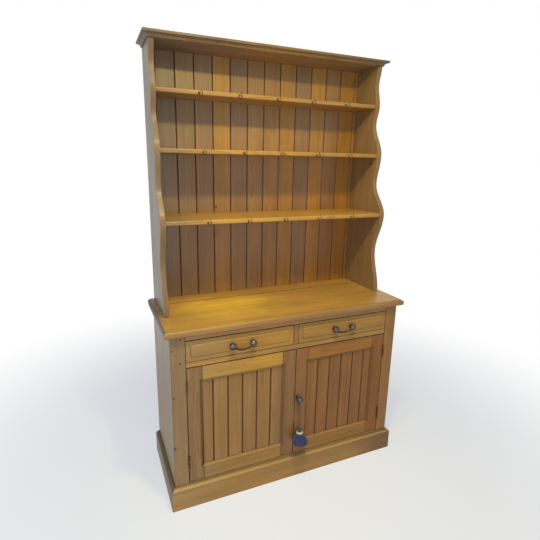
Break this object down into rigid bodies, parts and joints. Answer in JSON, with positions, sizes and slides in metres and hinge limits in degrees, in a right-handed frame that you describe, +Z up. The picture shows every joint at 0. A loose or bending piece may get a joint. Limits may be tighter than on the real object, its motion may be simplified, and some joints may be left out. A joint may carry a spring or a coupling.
{
  "type": "welsh dresser",
  "caption": "Pine dresser: an open plate rack with wavy sides and boarded back over a base with drawers, boarded cupboard doors, drop handles, a turn knob and a hanging tassel.",
  "frame": {"origin": "on the floor under the middle of the outline, measured without the tassel and its cord", "axes": "+Z up, -Y towards the person in front of the dresser, +X to that person's right"},
  "size_m": [1.22, 0.5269, 2.05],
  "materials": {
    "pine": "waxed satin",
    "pine_dark": "waxed satin",
    "pine_light": "waxed satin",
    "pewter": "dull pewter",
    "navy_yarn": "yarn",
    "grey_cord": "twisted cord"
  },
  "bodies": {
    "cabinet": {"rack_side_left": "pine", "rack_side_right": "pine", "rack_top_board": "pine", "rack_shelf_bottom": "pine_light", "rack_shelf_middle": "pine_light", "rack_shelf_top": "pine_light", "rack_back_board_01": "pine_dark", "rack_back_board_02": "pine", "rack_back_board_03": "pine_dark", "rack_back_board_04": "pine", "rack_back_board_05": "pine_dark", "rack_back_board_06": "pine", "rack_back_board_07": "pine_dark", "rack_back_board_08": "pine", "rack_back_board_09": "pine_dark", "rack_back_board_10": "pine", "rack_back_board_11": "pine_dark", "rack_back_board_12": "pine", "worktop": "pine_light", "case_side_left": "pine", "case_side_right": "pine", "front_stile_left": "pine", "front_stile_right": "pine", "front_top_rail": "pine", "front_middle_rail": "pine", "front_muntin": "pine", "case_floor": "pine_dark", "case_back": "pine_dark", "cupboard_shelf": "pine_dark", "drawer_runner_frame": "pine_dark", "plinth_front": "pine", "plinth_left": "pine", "plinth_right": "pine", "hinge_left_top": "pewter", "hinge_left_bottom": "pewter", "hinge_right_top": "pewter", "hinge_right_bottom": "pewter"},
    "door_left": {"door_left_hinge_stile": "pine", "door_left_meeting_stile": "pine", "door_left_top_rail": "pine", "door_left_bottom_rail": "pine", "door_left_panel": "pine_dark"},
    "door_right": {"door_right_hinge_stile": "pine", "door_right_meeting_stile": "pine", "door_right_top_rail": "pine", "door_right_bottom_rail": "pine", "door_right_panel": "pine_dark"},
    "latch": {"latch_knob": "pewter"},
    "hanging_tassel": {"tassel_cord": "grey_cord", "tassel": "navy_yarn"},
    "drawer_left": {"drawer_left_front": "pine", "drawer_left_box": "pine_dark", "drawer_left_post_left": "pewter", "drawer_left_post_right": "pewter"},
    "drawer_right": {"drawer_right_front": "pine", "drawer_right_box": "pine_dark", "drawer_right_post_left": "pewter", "drawer_right_post_right": "pewter"},
    "bail_left": {"drawer_left_bail": "pewter"},
    "bail_right": {"drawer_right_bail": "pewter"}
  },
  "joints": [
    {"name": "door_left_hinge", "type": "hinge", "parent": "cabinet", "child": "door_left", "pos_m": [-0.51975, -0.2083, 0.4], "axis": [0, 0, -1], "range_deg": [0, 110], "deforming": ["tassel", "tassel_cord"]},
    {"name": "door_right_hinge", "type": "hinge", "parent": "cabinet", "child": "door_right", "pos_m": [0.51975, -0.2083, 0.4], "axis": [0, 0, 1], "range_deg": [0, 110]},
    {"name": "drawer_left_slide", "type": "slide", "parent": "cabinet", "child": "drawer_left", "axis": [0, -1, 0], "range_m": [0, 0.28]},
    {"name": "drawer_right_slide", "type": "slide", "parent": "cabinet", "child": "drawer_right", "axis": [0, -1, 0], "range_m": [0, 0.28]},
    {"name": "bail_left_swing", "type": "hinge", "parent": "drawer_left", "child": "bail_left", "pos_m": [-0.267, -0.224, 0.76575], "axis": [-1, 0, 0], "range_deg": [-25, 95]},
    {"name": "bail_right_swing", "type": "hinge", "parent": "drawer_right", "child": "bail_right", "pos_m": [0.258, -0.224, 0.76575], "axis": [-1, 0, 0], "range_deg": [-25, 95]},
    {"name": "latch_turn", "type": "hinge", "parent": "door_right", "child": "latch", "pos_m": [0.024, -0.204, 0.43], "axis": [0, -1, 0], "range_deg": [0, 90]},
    {"name": "tassel_swing", "type": "hinge", "parent": "door_right", "child": "hanging_tassel", "pos_m": [0.024, -0.2124, 0.43], "axis": [0, 1, 0], "range_deg": [-25, 25]}
  ]
}
